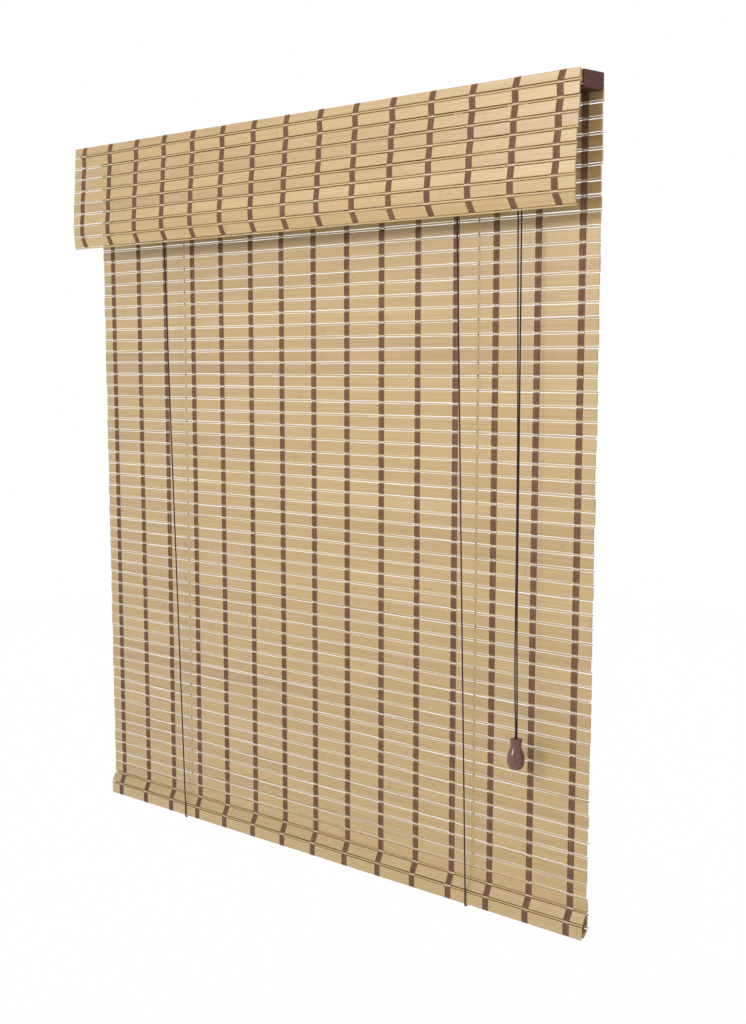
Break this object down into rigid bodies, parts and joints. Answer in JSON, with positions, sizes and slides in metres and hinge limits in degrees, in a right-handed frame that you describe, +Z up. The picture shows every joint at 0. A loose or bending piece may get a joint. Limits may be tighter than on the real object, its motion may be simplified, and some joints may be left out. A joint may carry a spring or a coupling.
{
  "type": "roll-up bamboo blind",
  "caption": "Woven bamboo roll-up blind on a wooden headrail, with a hanging valance, two lift cords over pulleys, a cord lock and a wooden tassel.",
  "frame": {"origin": "centre of the headrail's top face, where it is screwed up under a lintel", "axes": "+X along the rail towards the pull cords, +Y to the back (the window side), +Z up"},
  "size_m": [0.924, 0.0591, 0.9904],
  "materials": {
    "rail_wood": "dark reddish-brown stain, satin",
    "tassel_wood": "turned wood, dark mauve-brown stain, gloss lacquer",
    "dowel_wood": "dark stain, matt",
    "bamboo_slat": "split bamboo, honey tan, low sheen",
    "bamboo_reed": "round bamboo reed, pale straw",
    "binding_thread": "flat spun brown thread, matt",
    "lift_cord": "braided dark purple-brown cord, matt",
    "steel_hardware": "zinc plated",
    "zinc_wheel": "cast zinc, worn bright in the groove",
    "brass_cam": "plain brass"
  },
  "bodies": {
    "headrail_assembly": {"headrail": "rail_wood", "rail_staples": "steel_hardware", "valance_fixing_slat": "bamboo_slat", "valance_fixing_reed": "bamboo_reed", "left_pulley_bracket": "steel_hardware", "right_pulley_bracket": "steel_hardware", "left_pulley_pin": "steel_hardware", "right_pulley_pin": "steel_hardware", "bracket_screws": "steel_hardware", "cord_lock_frame": "steel_hardware", "cord_lock_roller_pin": "steel_hardware", "cord_lock_cam_pin": "steel_hardware", "cord_lock_screws": "steel_hardware", "left_cord_eye": "steel_hardware", "right_cord_eye": "steel_hardware", "left_rail_cord": "lift_cord", "right_rail_cord": "lift_cord", "left_front_cord": "lift_cord", "right_front_cord": "lift_cord", "left_rear_cord": "lift_cord", "right_rear_cord": "lift_cord", "panel_slats": "bamboo_slat", "panel_reeds": "bamboo_reed", "panel_threads": "binding_thread"},
    "left_pulley": {"left_pulley": "zinc_wheel"},
    "right_pulley": {"right_pulley": "zinc_wheel"},
    "lock_roller": {"cord_lock_roller": "zinc_wheel"},
    "lock_cam": {"cord_lock_cam": "brass_cam"},
    "hem": {"hem_slats": "bamboo_slat", "hem_reeds": "bamboo_reed", "hem_threads": "binding_thread", "hem_dowel": "dowel_wood", "left_hem_cord": "lift_cord", "right_hem_cord": "lift_cord"},
    "valance": {"valance_slats": "bamboo_slat", "valance_reeds": "bamboo_reed", "valance_threads": "binding_thread"},
    "pull_cords": {"left_pull_cord": "lift_cord", "right_pull_cord": "lift_cord"},
    "tassel": {"tassel": "tassel_wood", "tassel_knot": "lift_cord"}
  },
  "joints": [
    {"name": "hem_lift", "type": "slide", "parent": "headrail_assembly", "child": "hem", "axis": [0, 0, 1], "range_m": [0, 0.84], "deforming": ["panel_slats", "panel_reeds", "panel_threads", "left_front_cord", "right_front_cord", "left_rear_cord", "right_rear_cord"]},
    {"name": "left_pulley_spin", "type": "hinge", "parent": "headrail_assembly", "child": "left_pulley", "pos_m": [-0.276, -0.008, -0.0275], "axis": [0, 1, 0], "range_deg": [0, 16100]},
    {"name": "right_pulley_spin", "type": "hinge", "parent": "headrail_assembly", "child": "right_pulley", "pos_m": [0.28, -0.0144, -0.0275], "axis": [0, 1, 0], "range_deg": [0, 16100]},
    {"name": "lock_roller_spin", "type": "hinge", "parent": "headrail_assembly", "child": "lock_roller", "pos_m": [0.3615, -0.0112, -0.0275], "axis": [0, 1, 0], "range_deg": [0, 16100]},
    {"name": "lock_cam_release", "type": "hinge", "parent": "headrail_assembly", "child": "lock_cam", "pos_m": [0.37585, -0.0112, -0.0305], "axis": [0, 1, 0], "range_deg": [0, 35]},
    {"name": "valance_swing", "type": "hinge", "parent": "headrail_assembly", "child": "valance", "pos_m": [0, -0.02012, 0.0008], "axis": [-1, 0, 0], "range_deg": [0, 80]},
    {"name": "cord_swing", "type": "hinge", "parent": "headrail_assembly", "child": "pull_cords", "pos_m": [0.3675, -0.0112, -0.042], "axis": [0, -1, 0], "range_deg": [-4, 20]},
    {"name": "tassel_drop", "type": "slide", "parent": "pull_cords", "child": "tassel", "axis": [0, 0, -1], "range_m": [0, 1.68], "deforming": ["left_pull_cord", "right_pull_cord"]}
  ],
  "couplings": [
    {"joint": "tassel_drop", "follows": "hem_lift", "ratio": 2},
    {"joint": "left_pulley_spin", "follows": "hem_lift", "rad_per_m": 333.33},
    {"joint": "right_pulley_spin", "follows": "hem_lift", "rad_per_m": 333.33},
    {"joint": "lock_roller_spin", "follows": "hem_lift", "rad_per_m": 333.33}
  ]
}
